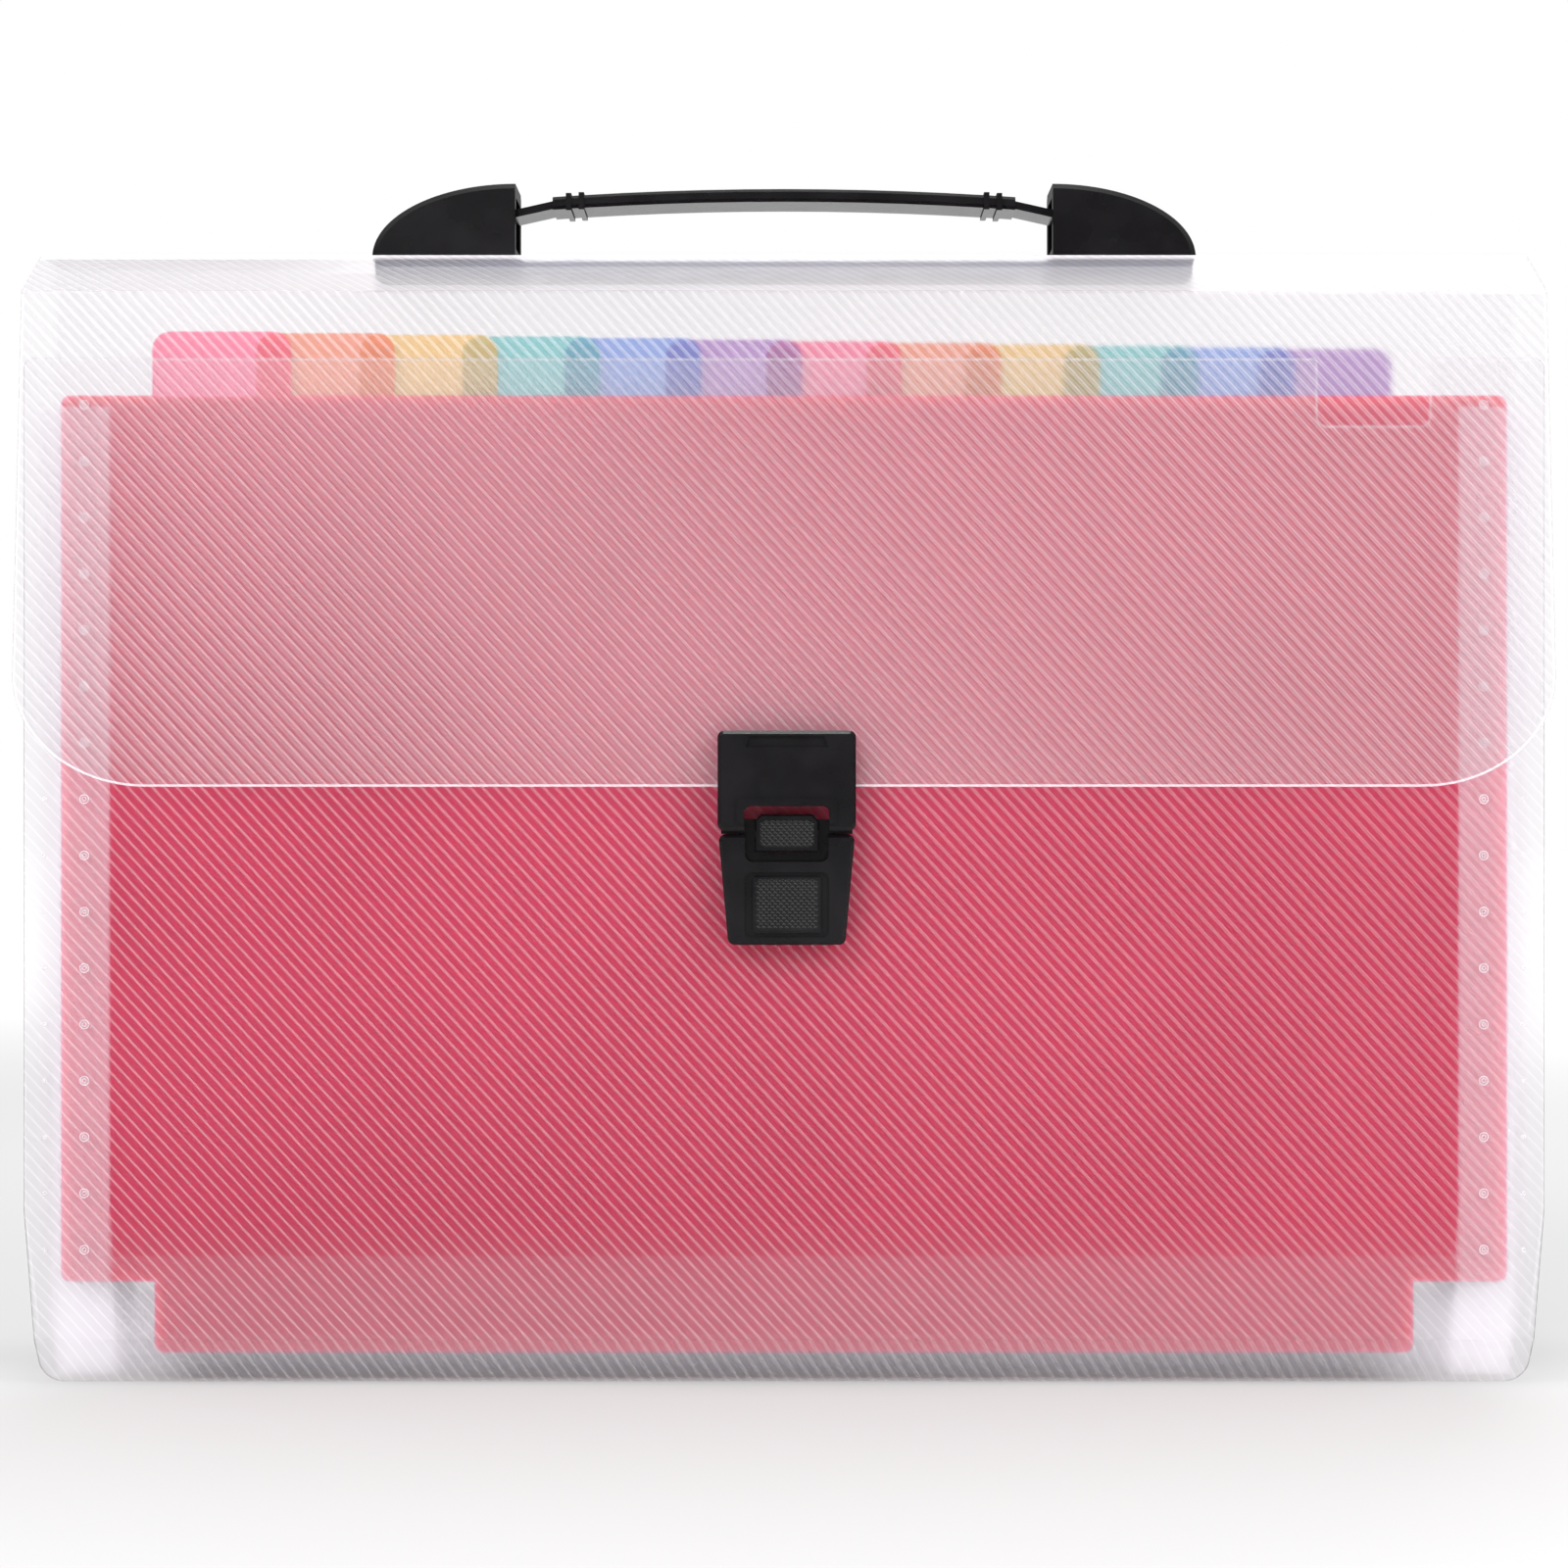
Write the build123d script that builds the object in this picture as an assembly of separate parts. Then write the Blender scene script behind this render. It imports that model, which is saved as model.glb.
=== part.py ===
"""Expanding file with thirteen pockets: a folded frosted cover, twelve coloured dividers with stepped tabs,
clear gusset pleats, a carrying handle on the spine and a push clasp on the flap.

Millimetres, +Z up. The front cover looks along -Y. The origin is at the middle of the bottom of the bounds.
Depths named t are measured backwards from the outer face of the front cover.
"""

from build123d import *
import math
import os

# Sheets
COVER_T = 0.9
DIVIDER_T = 0.5
PLEAT_T = 0.3
SHEET_CLEAR = 0.3
CREASE_GAP = 0.1

# Stack of pockets
DIVIDERS = 12
POCKET_GAP = 2.3

# Covers
COVER_HALF_W = 166.0
COVER_FOOT_HALF_W = 163.0
COVER_TAPER_Z = 38.0
COVER_CORNER_R = 5.0
FRONT_TOP = 224.4
FRONT_TOP_R = 2.2
FOOT_BAND_Z = 10.0
FOOT_BAND_T = 6.0

# Thumb notch in the top edge of the front cover
NOTCH_X = 128.8
NOTCH_W = 24.4
NOTCH_DEPTH = 14.7
NOTCH_R = 2.2

# Spine and flap
SPINE_TOP = 249.0
SPINE_HALF_W = 165.0
SPINE_W = 23.7
BAND_DROP = 10.2
FLAP_GAP = 1.5
FLAP_BOTTOM = 130.8
FLAP_TOP_HALF_W = 166.0
FLAP_HALF_W = 168.0
FLAP_CORNER_W = 28.9
FLAP_CORNER_H = 24.2

# Dividers
DIVIDER_HALF_W = 158.5
DIVIDER_TOP = 216.6
DIVIDER_SHOULDER_Z = 22.3
DIVIDER_CORNER_R = 2.0
FOOT_HALF_W = 138.0
FOOT_Z = 6.8
TAB_TOP = 230.6
TAB_W = 30.4
TAB_R = 4.0
TAB_SPAN = 277.0

# Gusset pleats
GUSSET_TOP = 214.0
GUSSET_DEPTH = 18.0
GUSSET_BEND = 5.0
GUSSET_INSET = 0.4
GUSSET_FLOOR = 1.0

# Handle
CAP_L = 32.0
CAP_H = 16.5
CAP_D = 18.5
CAP_EDGE = 1.2
CAP_WALL = 2.5
CAPS_APART = 120.0
CAVITY_L = 11.5
SLOT_SILL = 2.2
STUD_R = 1.8
STUD_SPACING = 14.0
STUD_FIT = 0.05
BASE_L = 183.0
BASE_W = 16.0
BASE_T = 3.0
BASE_RIM = 1.0
STRAP_W = 12.0
STRAP_T = 1.75
STRAP_HEAD_W = 15.0
STRAP_HEAD_L = 8.0
STRAP_END_Z = 9.6
GRIP_L = 103.5
NECK_LAP = 1.0
GRIP_W = 15.0
GRIP_T = 2.85
GRIP_END_Z = 12.3
GRIP_RISE = 1.8
RIDGE_T = 1.2
RIDGE_PROUD = 0.5
RIDGE_FROM_END = 3.6
RIDGE_PITCH = 2.85
RIDGES = 2
HANDLE_LIFT = 2.0
FIT = 0.3

# Clasp, upper part on the flap
CLASP_X = 0.6
UPPER_W = 30.0
UPPER_TOP = 143.0
UPPER_BOTTOM = 121.3
UPPER_T = 4.2
UPPER_R = 1.5
WINDOW_W = 18.4
WINDOW_TOP = 126.6
WINDOW_RIM = 1.7
WINDOW_RIM_PROUD = 0.5
THUMB_DENT_Z = 140.6
THUMB_DENT_H = 2.4
THUMB_DENT_W = 18.0
THUMB_DENT_DEEP = 0.7
BACKING_T = 0.9
BACKING_W = 26.0
UPPER_BACK_H = 9.0

# Clasp, lower part on the front cover
LOWER_TOP = 120.5
LOWER_BOTTOM = 96.5
LOWER_W = 29.7
LOWER_FOOT_W = 25.4
LOWER_T = 5.2
LOWER_R = 1.5
THROAT_W = 18.1
THROAT_H = 6.0
THROAT_R = 1.7
PAD_W = 18.3
PAD_H = 14.1
PAD_FRAME = 1.6
PAD_Z = 105.2
PAD_RECESS = 0.8
PAD_PROUD = 0.25
LOWER_BACK_W = 22.0
LOWER_BACK_H = 18.0
CLASP_STUD_R = 1.3
SHELF_T = 2.1
SHELF_TOP = 123.7
SHELF_BOTTOM = 112.8
SHELF_W = 21.0
SHELF_TOP_W = 28.6
BUTTON_W = 13.9
BUTTON_H = 8.2
BUTTON_Z = 120.7
BUTTON_HEAD_T = 2.0
BUTTON_CHAMFER = 1.4
BUTTON_STEM_W = 8.0
BUTTON_STEM_H = 4.0
BUTTON_STEM_Z = 118.4
BUTTON_TRAVEL = 0.9
BUTTON_FIT = 0.15

# Sizes worked out from the ones above
POCKETS = DIVIDERS + 1
PITCH = POCKET_GAP + DIVIDER_T
STACK = 2 * COVER_T + POCKETS * POCKET_GAP + DIVIDERS * DIVIDER_T
FLAP_FACE = FLAP_GAP + COVER_T
FRONT_REACH = max(FLAP_FACE + UPPER_T + WINDOW_RIM_PROUD, LOWER_T)
MID_T = (STACK - FRONT_REACH) / 2
SPINE_FRONT_T = STACK - SPINE_W
SPINE_MID_T = STACK - SPINE_W / 2
SCORE_Z = SPINE_TOP - BAND_DROP
FRONT_FOOT_ANGLE = math.atan2(FOOT_BAND_Z, FOOT_BAND_T)


def y_of(t):
    """Model Y of a depth t behind the outer face of the front cover."""
    return t - MID_T


def save(shape, name):
    """Writes one sub-part."""
    export_step(shape, f"parts/{name}.step")


def box(x, y, z):
    """A box from pairs of limits along the three axes."""
    size = [high - low for low, high in (x, y, z)]
    middle = [(high + low) / 2 for low, high in (x, y, z)]
    return Pos(*middle) * Box(*size)


def side_profile(points, half_w):
    """A closed outline in depth and height, drawn across the full width."""
    outline = Polyline(*[(y_of(t), z) for t, z in points], close=True)
    face = make_face(Plane.YZ * outline)
    return Pos(-half_w, 0, 0) * extrude(face, 2 * half_w, dir=(1, 0, 0))


def front_outline(sketch):
    """A front view outline, drawn through the whole depth, as a cutter."""
    reach = 2 * STACK
    return extrude(Plane.XZ * sketch, reach, both=True)


def inner_points(outer, thickness):
    """The same line moved inwards by the sheet, with mitred bends and square ends."""
    normals = []
    for (t0, z0), (t1, z1) in zip(outer, outer[1:]):
        length = math.hypot(t1 - t0, z1 - z0)
        normals.append(((z0 - z1) / length, (t1 - t0) / length))
    ends = [normals[0], *normals, normals[-1]]
    moved = []
    for (t, z), (a, b) in zip(outer, zip(ends, ends[1:])):
        share = thickness / (1 + a[0] * b[0] + a[1] * b[1])
        moved.append((t + (a[0] + b[0]) * share, z + (a[1] + b[1]) * share))
    return moved


def fold_lines():
    """Outer line of the folded cover from the back foot over the spine to the flap's lower edge."""
    return [
        (STACK, 0),
        (STACK, SPINE_TOP),
        (SPINE_FRONT_T, SPINE_TOP),
        (-FLAP_FACE, SCORE_Z),
        (-FLAP_FACE, FLAP_BOTTOM),
    ]


def fold_panel(step, half_w):
    """One stretch of the folded cover, held clear of its neighbours at the living hinges."""
    outer = fold_lines()
    inner = inner_points(outer, COVER_T)
    last = len(outer) - 2
    start = CREASE_GAP / 2 if step > 0 else 0
    end = CREASE_GAP / 2 if step < last else 0
    corners = []
    for a, b in ((outer[step], outer[step + 1]), (inner[step], inner[step + 1])):
        length = math.hypot(b[0] - a[0], b[1] - a[1])
        run = ((b[0] - a[0]) / length, (b[1] - a[1]) / length)
        near = (a[0] + run[0] * start, a[1] + run[1] * start)
        far = (b[0] - run[0] * end, b[1] - run[1] * end)
        corners.append((near, far))
    (outer_near, outer_far), (inner_near, inner_far) = corners
    return side_profile([outer_near, outer_far, inner_far, inner_near], half_w)


def cover_foot_sketch(top):
    """Front view of a cover, tapered near the foot, up to the given height."""
    outline = Polyline(
        (-COVER_HALF_W, top),
        (-COVER_HALF_W, COVER_TAPER_Z),
        (-COVER_FOOT_HALF_W, 0),
        (COVER_FOOT_HALF_W, 0),
        (COVER_HALF_W, COVER_TAPER_Z),
        (COVER_HALF_W, top),
        close=True,
    )
    sketch = make_face(outline)
    return fillet(sketch.vertices().group_by(Axis.Y)[0], COVER_CORNER_R)


def back_panel():
    """Stiff back sheet that stands on its lower edge."""
    return fold_panel(0, COVER_HALF_W) & front_outline(cover_foot_sketch(SPINE_TOP))


def spine_panel():
    """Top strip with the holes for the handle's studs."""
    panel = fold_panel(1, SPINE_HALF_W)
    return panel - handle_studs(STUD_R + STUD_FIT, SPINE_TOP - BASE_T - 2 * COVER_T, SPINE_TOP + COVER_T)


def flap_sketch():
    """Front view of the flap: nearly straight sides, large rounded lower corners."""
    low = FLAP_BOTTOM
    corner_top = low + FLAP_CORNER_H
    foot = FLAP_HALF_W - FLAP_CORNER_W
    right_side = Line((FLAP_TOP_HALF_W, SCORE_Z), (FLAP_HALF_W, corner_top))
    right_corner = EllipticalCenterArc((foot, corner_top), FLAP_CORNER_W, FLAP_CORNER_H, 270, arc_size=90)
    foot_line = Line((foot, low), (-foot, low))
    left_corner = EllipticalCenterArc((-foot, corner_top), FLAP_CORNER_W, FLAP_CORNER_H, 180, arc_size=90)
    left_side = Line((-FLAP_HALF_W, corner_top), (-FLAP_TOP_HALF_W, SCORE_Z))
    top = Line((-FLAP_TOP_HALF_W, SCORE_Z), (FLAP_TOP_HALF_W, SCORE_Z))
    return make_face([right_side, right_corner, foot_line, left_corner, left_side, top])


def flap_panel():
    """Main sheet of the flap, with holes for the catch plate's studs."""
    panel = fold_panel(3, FLAP_HALF_W) & front_outline(flap_sketch())
    return panel - upper_studs(CLASP_STUD_R + STUD_FIT)


def top_band():
    """Slanted strip between the spine and the score line, tapering from flap to spine width."""
    outline = Polyline(
        (-FLAP_TOP_HALF_W, SCORE_Z - COVER_T),
        (-FLAP_TOP_HALF_W, SCORE_Z),
        (-SPINE_HALF_W, SPINE_TOP),
        (SPINE_HALF_W, SPINE_TOP),
        (FLAP_TOP_HALF_W, SCORE_Z),
        (FLAP_TOP_HALF_W, SCORE_Z - COVER_T),
        close=True,
    )
    return fold_panel(2, FLAP_HALF_W) & front_outline(make_face(outline))


def front_foot_height(t):
    """Height of the inner face of the front cover's slanted foot at depth t."""
    lean = math.sin(FRONT_FOOT_ANGLE)
    return max(0, FOOT_BAND_Z + (COVER_T / lean - t) * math.tan(FRONT_FOOT_ANGLE))


def front_cover():
    """Front sheet with its thumb notch, rounded top corners and a foot that slants back to the ground."""
    inner_bend = COVER_T * math.tan((math.pi / 2 - FRONT_FOOT_ANGLE) / 2)
    inner_foot = FOOT_BAND_T + COVER_T / math.sin(FRONT_FOOT_ANGLE)
    points = [
        (0, FRONT_TOP),
        (0, FOOT_BAND_Z),
        (FOOT_BAND_T, 0),
        (inner_foot, 0),
        (COVER_T, FOOT_BAND_Z + inner_bend),
        (COVER_T, FRONT_TOP),
    ]
    sketch = cover_foot_sketch(FRONT_TOP)
    sketch = fillet(sketch.vertices().group_by(Axis.Y)[-1], FRONT_TOP_R)
    notch = Pos(NOTCH_X, FRONT_TOP) * Rectangle(NOTCH_W, 2 * NOTCH_DEPTH)
    notch = fillet(notch.vertices().group_by(Axis.Y)[0], NOTCH_R)
    sheet = side_profile(points, COVER_HALF_W) & front_outline(sketch - notch)
    return sheet - lower_studs(CLASP_STUD_R + STUD_FIT)


def divider_front(index):
    """Depth of the front face of a divider, counted from 1 at the front."""
    return COVER_T + index * POCKET_GAP + (index - 1) * DIVIDER_T


def divider(index):
    """Coloured sheet with a narrow foot and one tab, stepped along the top edge."""
    step = (TAB_SPAN - TAB_W) / (DIVIDERS - 1)
    tab_x = -TAB_SPAN / 2 + TAB_W / 2 + (index - 1) * step
    body = Pos(0, (DIVIDER_TOP + DIVIDER_SHOULDER_Z) / 2) * Rectangle(
        2 * DIVIDER_HALF_W, DIVIDER_TOP - DIVIDER_SHOULDER_Z
    )
    body = fillet(body.vertices(), DIVIDER_CORNER_R)
    tab_root = DIVIDER_TOP - TAB_R
    tab = Pos(tab_x, (TAB_TOP + tab_root) / 2) * Rectangle(TAB_W, TAB_TOP - tab_root)
    tab = fillet(tab.vertices().group_by(Axis.Y)[-1], TAB_R)
    foot_root = DIVIDER_SHOULDER_Z + DIVIDER_CORNER_R
    foot = Pos(0, (FOOT_Z + foot_root) / 2) * Rectangle(2 * FOOT_HALF_W, foot_root - FOOT_Z)
    foot = fillet(foot.vertices().group_by(Axis.Y)[0], DIVIDER_CORNER_R)
    sheet = Plane.XZ * (body + tab + foot)
    return Pos(0, y_of(divider_front(index)), 0) * extrude(sheet, DIVIDER_T, dir=(0, 1, 0))


def pleat(index):
    """Clear folded strip of one pocket: a V along the left side, the bottom and the right side, in one piece."""
    start = divider_front(index) - POCKET_GAP
    low = SHEET_CLEAR
    high = POCKET_GAP - SHEET_CLEAR
    middle = POCKET_GAP / 2
    bend = GUSSET_DEPTH - GUSSET_BEND
    slope = (middle - low) / GUSSET_BEND
    apex = GUSSET_DEPTH - PLEAT_T / slope
    points = [
        (0, low),
        (bend, low),
        (GUSSET_DEPTH, middle),
        (bend, high),
        (0, high),
        (0, high - PLEAT_T),
        (bend, high - PLEAT_T),
        (apex, middle),
        (bend, low + PLEAT_T),
        (0, low + PLEAT_T),
    ]
    floor = max(GUSSET_FLOOR, front_foot_height(start + low) + SHEET_CLEAR)
    outer_x = COVER_HALF_W - GUSSET_INSET
    inner_x = outer_x - GUSSET_DEPTH
    section = make_face(Polyline(*[(inner_x + out, y_of(start + t)) for out, t in points], close=True))
    turn = floor + GUSSET_DEPTH
    foot_x = inner_x - (COVER_HALF_W - COVER_FOOT_HALF_W) * (COVER_TAPER_Z - turn) / COVER_TAPER_Z
    route = Polyline(
        (inner_x, y_of(start), GUSSET_TOP),
        (inner_x, y_of(start), COVER_TAPER_Z),
        (foot_x, y_of(start), turn),
        (-foot_x, y_of(start), turn),
        (-inner_x, y_of(start), COVER_TAPER_Z),
        (-inner_x, y_of(start), GUSSET_TOP),
    )
    return sweep(Pos(0, 0, GUSSET_TOP) * section, path=route, transition=Transition.RIGHT)


def cap_inner_x(side):
    """X of the inner face of a handle cap, side being -1 or 1."""
    return side * CAPS_APART / 2


def handle_studs(radius, low, high):
    """The four studs that fasten the caps, two under each."""
    studs = []
    for side in (-1, 1):
        middle = cap_inner_x(side) + side * CAP_L / 2
        for offset in (-STUD_SPACING / 2, STUD_SPACING / 2):
            studs.append(Pos(middle + offset, y_of(SPINE_MID_T), (low + high) / 2) * Cylinder(radius, high - low))
    return Compound(children=studs)


def strap_slope():
    """Fall of the strap's necks from the ends of the grip to the heads inside the caps."""
    run = CAPS_APART / 2 + CAP_WALL + FIT - (GRIP_L / 2 - NECK_LAP)
    return (GRIP_END_Z - STRAP_END_Z) / run


def handle_cap(side):
    """Fin-shaped end cap: a quarter ellipse in front view, bevelled edges, a slot and a hollow for the strap."""
    heel = Line((0, 0), (0, CAP_H))
    crown = EllipticalCenterArc((0, 0), CAP_L, CAP_H, 0, arc_size=90)
    sole = Line((CAP_L, 0), (0, 0))
    fin = extrude(Plane.XZ * make_face([heel, crown, sole]), CAP_D / 2, both=True)
    crown_edges = [e for e in fin.edges() if e.geom_type == GeomType.ELLIPSE]
    fin = chamfer(crown_edges, CAP_EDGE)
    head_low = STRAP_END_Z - STRAP_T / 2
    head_high = STRAP_END_Z + STRAP_T / 2 + HANDLE_LIFT + FIT
    neck_rise = (CAP_WALL + FIT) * strap_slope()
    slot = box(
        (-CAP_WALL, CAP_WALL + FIT),
        (-STRAP_W / 2 - FIT, STRAP_W / 2 + FIT),
        (SLOT_SILL, head_high + neck_rise + FIT),
    )
    cavity = box(
        (CAP_WALL, CAP_WALL + CAVITY_L),
        (-STRAP_HEAD_W / 2 - FIT, STRAP_HEAD_W / 2 + FIT),
        (head_low, head_high),
    )
    fin = fin - slot - cavity
    if side < 0:
        fin = mirror(fin, about=Plane.YZ)
    cap = Pos(cap_inner_x(side), y_of(SPINE_MID_T), SPINE_TOP) * fin
    studs = handle_studs(STUD_R, SPINE_TOP - COVER_T - BASE_T, SPINE_TOP)
    own = [stud for stud in studs.solids() if stud.center().X * side > 0]
    return cap + own


def handle_base():
    """Dark channel under the spine that the caps' studs are staked into."""
    top = SPINE_TOP - COVER_T
    plan = fillet(Rectangle(BASE_L, BASE_W).vertices(), BASE_RIM * 2)
    bar = extrude(plan, BASE_T)
    hollow = Rectangle(CAPS_APART - STUD_SPACING, BASE_W - 4 * BASE_RIM)
    bar = bar - extrude(hollow, BASE_T - BASE_RIM)
    bar = Pos(0, y_of(SPINE_MID_T), top - BASE_T) * bar
    return bar - handle_studs(STUD_R + STUD_FIT, top - 2 * BASE_T, top + BASE_T)


def strap_layer(half_l, half_w, end_z, rise, low, high):
    """A stretch of strap that bows upwards: a ring sector seen from the front, given its width in depth."""
    radius = (half_l**2 + rise**2) / (2 * rise)
    middle = Pos(0, end_z + rise - radius)
    disc = middle * Circle(radius + high) - middle * Circle(radius + low)
    window = Pos(0, end_z) * Rectangle(2 * half_l, 8 * GRIP_T)
    return extrude(Plane.XZ * (disc & window), half_w, both=True)


def handle_strap():
    """Moulded strap: a thick bowed grip with two raised ridges at each end, thin necks and stop heads."""
    half = GRIP_L / 2
    grip = strap_layer(half, GRIP_W / 2, GRIP_END_Z, GRIP_RISE, -GRIP_T / 2, GRIP_T / 2)
    long_edges = grip.edges().filter_by(Axis.Y, reverse=True).group_by(Axis.Y)
    grip = chamfer([e for group in (long_edges[0], long_edges[-1]) for e in group if e.length > half], GRIP_T / 4)
    radius = (half**2 + GRIP_RISE**2) / (2 * GRIP_RISE)
    pieces = [grip]
    for side in (-1, 1):
        for ridge in range(RIDGES):
            x = side * (half - RIDGE_FROM_END - ridge * RIDGE_PITCH)
            z = GRIP_END_Z + GRIP_RISE - radius + math.sqrt(radius**2 - x**2)
            rib = Rectangle(RIDGE_T, GRIP_T + 2 * RIDGE_PROUD)
            rib = extrude(Plane.XZ * (Pos(x, z) * rib), GRIP_W / 2 + RIDGE_PROUD, both=True)
            pieces.append(rib)
        cap_x = CAPS_APART / 2 + CAP_WALL + FIT
        drop = STRAP_T / 2
        neck = Polyline(
            (side * (half - NECK_LAP), GRIP_END_Z + drop),
            (side * cap_x, STRAP_END_Z + drop),
            (side * (cap_x + STRAP_HEAD_L), STRAP_END_Z + drop),
            (side * (cap_x + STRAP_HEAD_L), STRAP_END_Z - drop),
            (side * cap_x, STRAP_END_Z - drop),
            (side * (half - NECK_LAP), GRIP_END_Z - drop),
            close=True,
        )
        pieces.append(extrude(Plane.XZ * make_face(neck), STRAP_W / 2, both=True))
        head = box(
            sorted((side * cap_x, side * (cap_x + STRAP_HEAD_L))),
            (-STRAP_HEAD_W / 2, STRAP_HEAD_W / 2),
            (STRAP_END_Z - drop, STRAP_END_Z + drop),
        )
        pieces.append(head)
    strap = pieces[0].fuse(*pieces[1:])
    return Pos(0, y_of(SPINE_MID_T), SPINE_TOP) * strap


def clasp_block(sketch, near_t, thickness):
    """A front view sketch about the clasp's own X, raised forwards from a depth."""
    placed = Plane.XZ * (Pos(CLASP_X, 0) * sketch)
    return Pos(0, y_of(near_t), 0) * extrude(placed, thickness, dir=(0, -1, 0))


def upper_studs(radius):
    """Studs of the catch plate, through the flap and its backing plate."""
    middle = (WINDOW_TOP + WINDOW_RIM + UPPER_TOP) / 2
    centres = [Pos(side * UPPER_W / 4, middle) for side in (-1, 1)]
    discs = Sketch(children=[centre * Circle(radius) for centre in centres])
    return clasp_block(discs, BACKING_T - FLAP_GAP, BACKING_T + COVER_T)


def clasp_upper():
    """Catch plate on the flap: an arched window open at the foot, a raised rim round it and a thumb dent."""
    height = UPPER_TOP - UPPER_BOTTOM
    plate = Pos(0, (UPPER_TOP + UPPER_BOTTOM) / 2) * Rectangle(UPPER_W, height)
    plate = fillet(plate.vertices(), UPPER_R)
    body = clasp_block(plate, -FLAP_FACE, UPPER_T)
    body = chamfer(body.faces().sort_by(Axis.Y)[0].edges(), UPPER_R / 2)
    rim_top = WINDOW_TOP + WINDOW_RIM
    rim = Pos(0, (rim_top + UPPER_BOTTOM + UPPER_R) / 2) * Rectangle(
        WINDOW_W + 2 * WINDOW_RIM, rim_top - UPPER_BOTTOM - UPPER_R
    )
    rim = fillet(rim.vertices().group_by(Axis.Y)[-1], UPPER_R)
    body = body + clasp_block(rim, -FLAP_FACE, UPPER_T + WINDOW_RIM_PROUD)
    window = Pos(0, WINDOW_TOP - height) * Rectangle(WINDOW_W, 2 * height)
    window = fillet(window.vertices().group_by(Axis.Y)[-1], UPPER_R)
    body = body - clasp_block(window, 0, 2 * FRONT_REACH)
    dent = Pos(0, THUMB_DENT_Z) * Trapezoid(THUMB_DENT_W, THUMB_DENT_H, 70)
    body = body - clasp_block(dent, -FLAP_FACE - UPPER_T + THUMB_DENT_DEEP, UPPER_T)
    return body + upper_studs(CLASP_STUD_R)


def clasp_upper_back():
    """Plate behind the flap that the catch plate's studs are staked into."""
    middle = (WINDOW_TOP + WINDOW_RIM + UPPER_TOP) / 2
    plate = Pos(0, middle) * RectangleRounded(BACKING_W, UPPER_BACK_H, UPPER_R)
    solid = clasp_block(plate, BACKING_T - FLAP_GAP, BACKING_T)
    return solid - upper_studs(CLASP_STUD_R + STUD_FIT)


def lower_studs(radius):
    """Studs of the lock body, through the front cover and its backing plate."""
    centres = [Pos(side * LOWER_FOOT_W / 4, PAD_Z) for side in (-1, 1)]
    discs = Sketch(children=[centre * Circle(radius) for centre in centres])
    return clasp_block(discs, COVER_T + BACKING_T, COVER_T + BACKING_T)


def clasp_lower():
    """Lock body on the front cover: tapered outline, U throat for the button, a framed recess for the pad."""
    outline = Polyline(
        (-LOWER_W / 2, LOWER_TOP),
        (LOWER_W / 2, LOWER_TOP),
        (LOWER_FOOT_W / 2, LOWER_BOTTOM),
        (-LOWER_FOOT_W / 2, LOWER_BOTTOM),
        close=True,
    )
    outline = fillet(make_face(outline).vertices(), LOWER_R)
    body = clasp_block(outline, 0, LOWER_T)
    body = chamfer(body.faces().sort_by(Axis.Y)[0].edges(), LOWER_R / 2)
    throat = Pos(0, LOWER_TOP) * Rectangle(THROAT_W, 2 * THROAT_H)
    throat = fillet(throat.vertices().group_by(Axis.Y)[0], THROAT_R)
    body = body - clasp_block(throat, COVER_T, 2 * FRONT_REACH)
    rebate = Pos(0, (SHELF_BOTTOM + LOWER_TOP) / 2) * Rectangle(
        SHELF_W + 2 * STUD_FIT, LOWER_TOP - SHELF_BOTTOM + 2 * STUD_FIT
    )
    body = body - clasp_block(rebate, 0, SHELF_T + STUD_FIT)
    recess = Pos(0, PAD_Z) * RectangleRounded(PAD_W, PAD_H, UPPER_R)
    body = body - clasp_block(recess, PAD_RECESS - LOWER_T, LOWER_T)
    return body + lower_studs(CLASP_STUD_R)


def clasp_lower_back():
    """Plate behind the front cover that the lock body's studs are staked into."""
    plate = Pos(0, PAD_Z) * RectangleRounded(LOWER_BACK_W, LOWER_BACK_H, UPPER_R)
    solid = clasp_block(plate, COVER_T + BACKING_T, BACKING_T)
    return solid - lower_studs(CLASP_STUD_R + STUD_FIT)


def clasp_pad():
    """Thumb pad set in the lock body's frame."""
    plate = Pos(0, PAD_Z) * RectangleRounded(PAD_W - 2 * PAD_FRAME, PAD_H - 2 * PAD_FRAME + UPPER_R, UPPER_R / 2)
    pad = clasp_block(plate, PAD_RECESS - LOWER_T, PAD_RECESS + PAD_PROUD)
    return chamfer(pad.faces().sort_by(Axis.Y)[0].edges(), PAD_PROUD)


def clasp_shelf():
    """Recessed plate behind the button, wider where it runs up behind the catch plate."""
    stem = Pos(0, (SHELF_BOTTOM + SHELF_TOP) / 2) * Rectangle(SHELF_W, SHELF_TOP - SHELF_BOTTOM)
    shoulder = LOWER_TOP + STUD_FIT
    top = Pos(0, (shoulder + SHELF_TOP) / 2) * Rectangle(SHELF_TOP_W, SHELF_TOP - shoulder)
    plate = clasp_block(stem + top, 0, SHELF_T)
    hole = Pos(0, BUTTON_STEM_Z) * Rectangle(BUTTON_STEM_W + 2 * BUTTON_FIT, BUTTON_STEM_H + 2 * BUTTON_FIT)
    return plate - clasp_block(hole, COVER_T, 2 * FRONT_REACH)


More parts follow.
